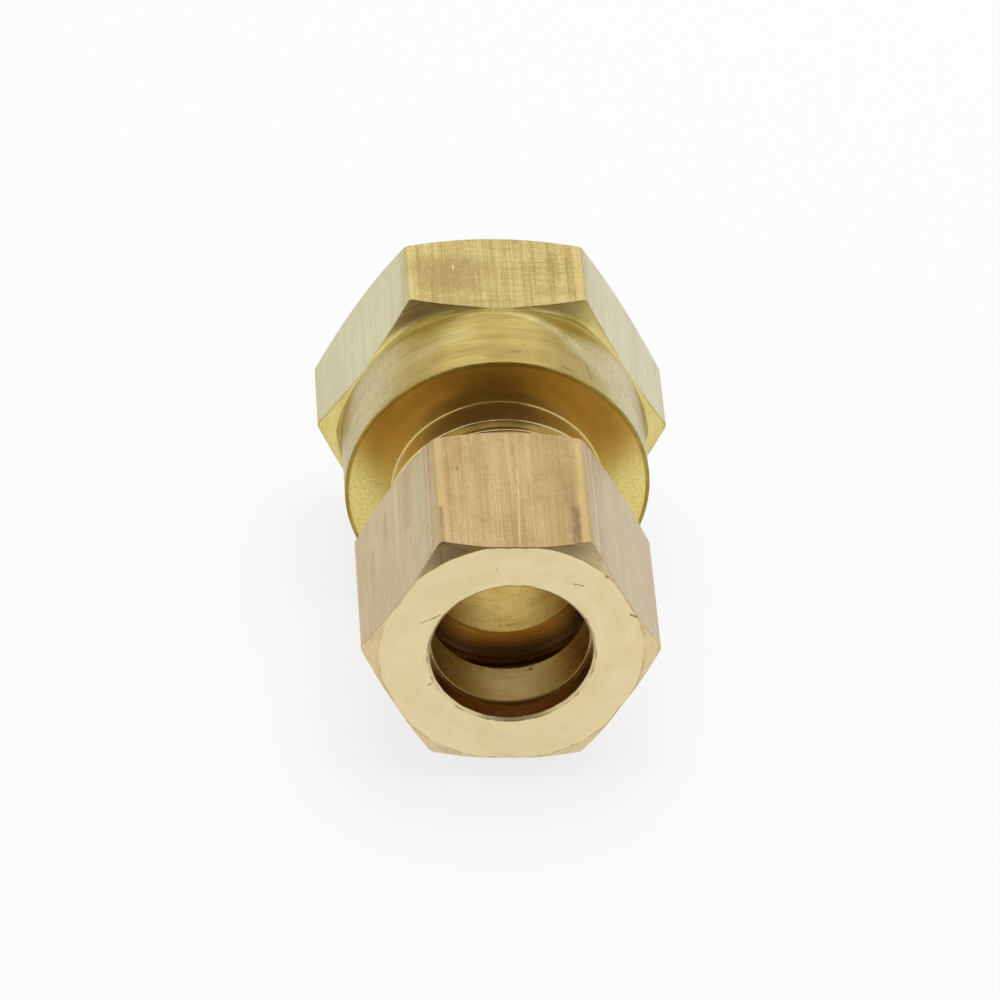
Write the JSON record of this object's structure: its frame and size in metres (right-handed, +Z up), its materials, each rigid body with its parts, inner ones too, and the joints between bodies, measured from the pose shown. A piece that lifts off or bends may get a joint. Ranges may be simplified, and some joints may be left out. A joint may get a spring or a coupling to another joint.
{
  "type": "compression female connector",
  "caption": "Brass compression fitting that joins a plain tube to a male pipe end: hex body with collar, screwed compression nut and loose ferrule.",
  "frame": {"origin": "on the axis, in the plane where the tube stops at the bottom of its socket", "axes": "+Y along the axis from the tube end to the pipe port, +Z up, normal to a flat of each hex"},
  "size_m": [0.022, 0.0307, 0.019],
  "materials": {
    "body_brass": "bare yellow brass, drawn hex flats with axial streaks, turned collar",
    "nut_brass": "bare pinkish brass, drawn hex flats, matte faced end",
    "ferrule_brass": "turned brass"
  },
  "bodies": {
    "body": {"connector_body": "body_brass"},
    "sleeve": {"ferrule": "ferrule_brass"},
    "nut": {"compression_nut": "nut_brass"}
  },
  "joints": [
    {"name": "ferrule_travel", "type": "slide", "parent": "body", "child": "sleeve", "axis": [0, 1, 0], "range_m": [-0.00424, 0.00345]},
    {"name": "nut_turn", "type": "hinge", "parent": "sleeve", "child": "nut", "pos_m": [0, 0, 0], "axis": [0, 1, 0], "range_deg": [-1440, 1170]}
  ],
  "couplings": [
    {"joint": "ferrule_travel", "follows": "nut_turn", "m_per_rad": 0.00016844}
  ]
}
